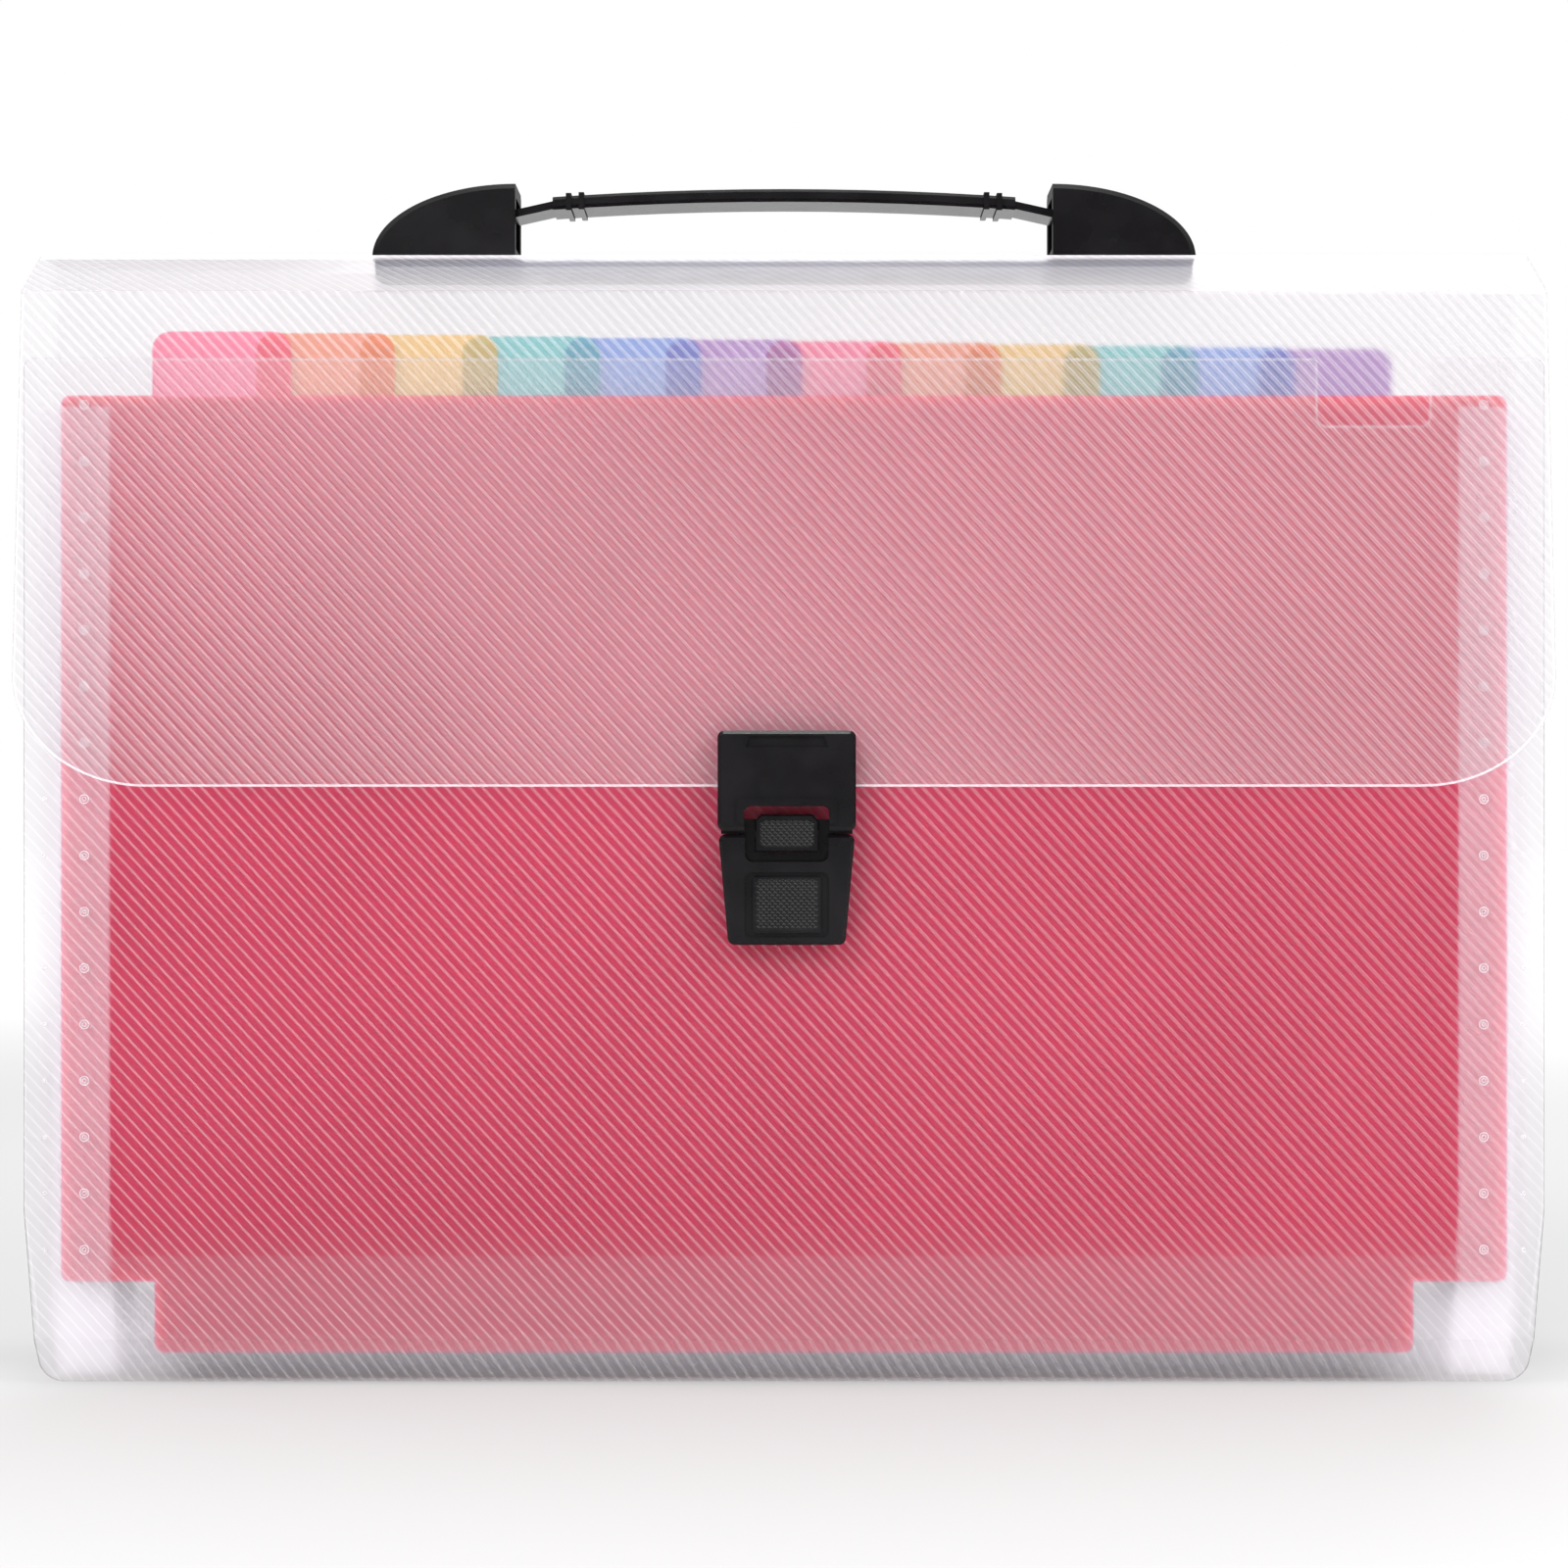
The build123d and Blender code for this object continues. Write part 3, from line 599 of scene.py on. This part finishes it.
frosted_front = frosted_sheet(
    "frosted embossed cover", facing=(0, 1, 0), haze=0.018, ridge_painted_highlight=0.15, passed=0.955, edge_painted_light=0.12
)
frosted_flap = frosted_sheet(
    "frosted embossed flap", facing=(0, 1, 0), haze=0.058, ridge_painted_highlight=0.22, passed=0.935, edge_painted_light=0.25
)
frosted_band = frosted_sheet(
    "frosted embossed top band", facing=(0, 0.528, -0.849), haze=0.07, ridge_painted_highlight=0.26, passed=0.985
)
frosted_spine = frosted_sheet(
    "frosted embossed spine", facing=(0, 0, 1), haze=0.08, ridge_painted_highlight=0.22, passed=0.98
)
clear_gusset = clear_strip("clear gusset strip", haze=0.025, side_haze=0.13)
black_gloss = black_moulding("black clasp moulding", roughness=0.20)
black_satin = black_moulding("black handle moulding", roughness=0.24, grain_height=0.00003)
strip_dark = black_moulding(
    "dark blue handle base", roughness=0.42, grain_height=0.00003, colour=(0.016, 0.022, 0.05)
)

node_materials = {
    "back_panel": frosted_front,
    "front_cover": frosted_front,
    "flap_panel": frosted_flap,
    "top_band": frosted_band,
    "spine_panel": frosted_spine,
    "handle_cap_left": black_satin,
    "handle_cap_right": black_satin,
    "handle_strap": black_satin,
    "handle_base": strip_dark,
    "clasp_upper": black_gloss,
    "clasp_upper_back": black_gloss,
    "clasp_lower": black_gloss,
    "clasp_lower_back": black_gloss,
    "clasp_pad": black_gloss,
    "clasp_shelf": black_gloss,
    "clasp_button": black_gloss,
}
sheet_finishes = [
    tinted_sheet(f"{tint} divider sheet", SHEET_COLOURS[tint], SHEET_TINTS[tint]) for tint in DIVIDER_TINTS
]
for index in range(POCKETS - 1):
    node_materials[f"divider_{index + 1:02d}"] = sheet_finishes[index % len(sheet_finishes)]
for node, material in node_materials.items():
    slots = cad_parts[node].material_slots
    for index in range(len(slots)):
        slots[index].material = material

# New pieces

for index in range(1, POCKETS + 1):
    make_pleat(index, clear_gusset)

weld_finish = clear_strip("weld ring", haze=0.45, side_haze=0.0)
weld_rings("weld_rings_front", RING_X, RING_FRONT_T, ring=0.95, tube=0.14, body="front")
weld_rings("weld_dots_front", RING_X, RING_FRONT_T, ring=0.42, tube=0.13, body="front")
weld_rings("weld_dots_front_outer", DOT_X, RING_FRONT_T, ring=0.3, tube=0.2, body="front")
weld_rings("weld_rings_back", RING_X, RING_BACK_T, ring=0.95, tube=0.2, body="back")

# Painted light: the beads' white stands for the light that the cut edges collect
bright_edge_painted_light = cut_edge("bright cut edge", clear_share=0.55)
soft_edge_painted_light = cut_edge("soft cut edge", clear_share=0.85)
corner_turn = np.linspace(0, math.pi / 2, 28)
corner_x = FLAP_HALF_W - FLAP_CORNER_W + (FLAP_CORNER_W - RIM_R) * np.cos(corner_turn)
corner_z = FLAP_CORNER_Z - (FLAP_CORNER_H - RIM_R) * np.sin(corner_turn)
right_side = np.vstack([[FLAP_TOP_HALF_W - RIM_R, FLAP_RIM_TOP], np.stack([corner_x, corner_z], axis=1)])
flap_path = np.vstack([right_side, (right_side * (-1, 1))[::-1]])
edge_rim("flap_cut_edge", flap_path, -MID_T - FLAP_GAP - COVER_T + RIM_R, bright_edge_painted_light, "flap")

notch_left, notch_right = NOTCH_X - NOTCH_HALF_W - RIM_R, NOTCH_X + NOTCH_HALF_W + RIM_R
cover_top = COVER_TOP - RIM_R
notch_floor = NOTCH_FLOOR - RIM_R
cover_side = COVER_HALF_W - RIM_R
foot_side = COVER_FOOT_HALF_W - RIM_R
cover_path = rounded_path(
    [
        (-foot_side, COVER_RIM_FOOT), (-cover_side, COVER_TAPER_Z), (-cover_side, cover_top),
        (notch_left, cover_top), (notch_left, notch_floor), (notch_right, notch_floor),
        (notch_right, cover_top), (cover_side, cover_top), (cover_side, COVER_TAPER_Z),
        (foot_side, COVER_RIM_FOOT),
    ],
    [FOOT_TURN, COVER_CORNER, NOTCH_LIP, NOTCH_CORNER, NOTCH_CORNER, NOTCH_LIP, COVER_CORNER, FOOT_TURN],
)
edge_rim("cover_cut_edge", cover_path, -MID_T + RIM_R, soft_edge_painted_light, "front")

back_path = rounded_path(
    [(-foot_side, BACK_RIM_FOOT), (-cover_side, COVER_TAPER_Z), (-cover_side, BACK_RIM_TOP)], [FOOT_TURN]
)
back_y = STACK - MID_T - COVER_T / 2 - RIM_SINK
edge_rim("back_cut_edge_left", back_path, back_y, soft_edge_painted_light, "back")
edge_rim("back_cut_edge_right", back_path * (-1, 1), back_y, soft_edge_painted_light, "back")

pad_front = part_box("clasp_pad")[0][1] / MM
knurled_plate("clasp_pad_knurling", pad_front, PAD_KNURL_Z, PAD_KNURL_SIZE, "front")
button_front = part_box("clasp_button")[0][1] / MM
knurled_plate("clasp_button_knurling", button_front, BUTTON_KNURL_Z, BUTTON_KNURL_SIZE, "button")

# Floor, light and camera


def white_floor():
    """Plain pale floor: looked at, it is near white, brighter with distance, and keeps a soft shadow."""
    finish = Finish("pale floor")
    seen = finish.ray_seen()
    tone = finish.less(0.86, finish.times(seen, 0.40))
    grey = finish.node("ShaderNodeCombineColor", {0: tone, 1: tone, 2: tone}).outputs[0]
    shade = finish.node("ShaderNodeBsdfDiffuse", {"Color": grey}).outputs[0]
    moved = finish.node("ShaderNodeVectorMath", {0: finish.place(), 1: (0, -0.4, 0)}, operation="ADD")
    away = finish.node("ShaderNodeVectorMath", {0: moved.outputs[0]}, operation="LENGTH").outputs["Value"]
    fill = finish.add(0.06, finish.times(finish.smooth(away, 0.35, 1.6), 0.64))
    glow = {"Color": (1, 1, 1), "Strength": finish.times(seen, fill)}
    lift = finish.node("ShaderNodeEmission", glow).outputs[0]
    material = finish.done(finish.node("ShaderNodeAddShader", {0: shade, 1: lift}).outputs[0])
    corners = np.array([(-6, -6, 0), (6, -6, 0), (6, 6, 0), (-6, 6, 0)], float)
    floor = mesh_object("floor", corners, np.array([[0, 1, 2, 3]]))
    floor.data.materials.append(material)


def white_world(level=0.24, zenith=1.0):
    """Pale surroundings: white where looked at, and a light that is brighter from above than from beside."""
    world = bpy.data.worlds.new("studio")
    world.use_nodes = True
    sky = Nodes(world.node_tree)
    way = sky.node("ShaderNodeTexCoord").outputs["Generated"]
    dome = sky.smooth(sky.split(way)[2], 0.05, 0.7, level, zenith)
    ends = {"Value": sky.ray_seen(), "To Min": dome, "To Max": 1.0}
    strength = sky.node("ShaderNodeMapRange", ends).outputs["Result"]
    background = sky.node("ShaderNodeBackground", {"Color": (1, 1, 1), "Strength": strength}).outputs[0]
    sky.node("ShaderNodeOutputWorld", {"Surface": background})
    bpy.context.scene.world = world


def soft_box(name, place, size, power):
    """Large rectangular lamp that looks at the middle of the file."""
    lamp = bpy.data.lights.new(name, "AREA")
    lamp.shape = "RECTANGLE"
    lamp.size, lamp.size_y = size
    lamp.energy = power
    made = bpy.data.objects.new(name, lamp)
    bpy.context.scene.collection.objects.link(made)
    way = Vector(LAMP_TARGET) - Vector(place)
    made.location = place
    made.rotation_mode = "QUATERNION"
    made.rotation_quaternion = way.to_track_quat("-Z", "Y")


def photo_camera():
    """Level camera in front of the clasp."""
    camera = bpy.data.objects.new("camera", bpy.data.cameras.new("camera"))
    bpy.context.scene.collection.objects.link(camera)
    camera.data.sensor_width = 36.0
    camera.data.lens = LENS
    camera.data.clip_start = 0.01
    camera.location = (0, -(MID_T * MM + CAMERA_BACK), CAMERA_HEIGHT)
    camera.rotation_euler = (math.pi / 2, 0, 0)
    bpy.context.scene.camera = camera


white_floor()
white_world()
soft_box("key", (-0.6, -1.1, 0.9), (0.8, 0.8), 15.0)
soft_box("fill", (0.9, -0.9, 0.7), (0.8, 0.8), 12.0)
soft_box("back", (0.2, 1.2, 0.9), (0.9, 0.7), 10.0)
soft_box("overhead", (0.0, -0.05, 1.1), (0.6, 0.14), 4.0)
photo_camera()

scene = bpy.context.scene
scene.view_settings.view_transform = "Standard"
scene.cycles.max_bounces = 7
scene.cycles.diffuse_bounces = 1
scene.cycles.glossy_bounces = 1
scene.cycles.transmission_bounces = 6
scene.cycles.transparent_max_bounces = 80
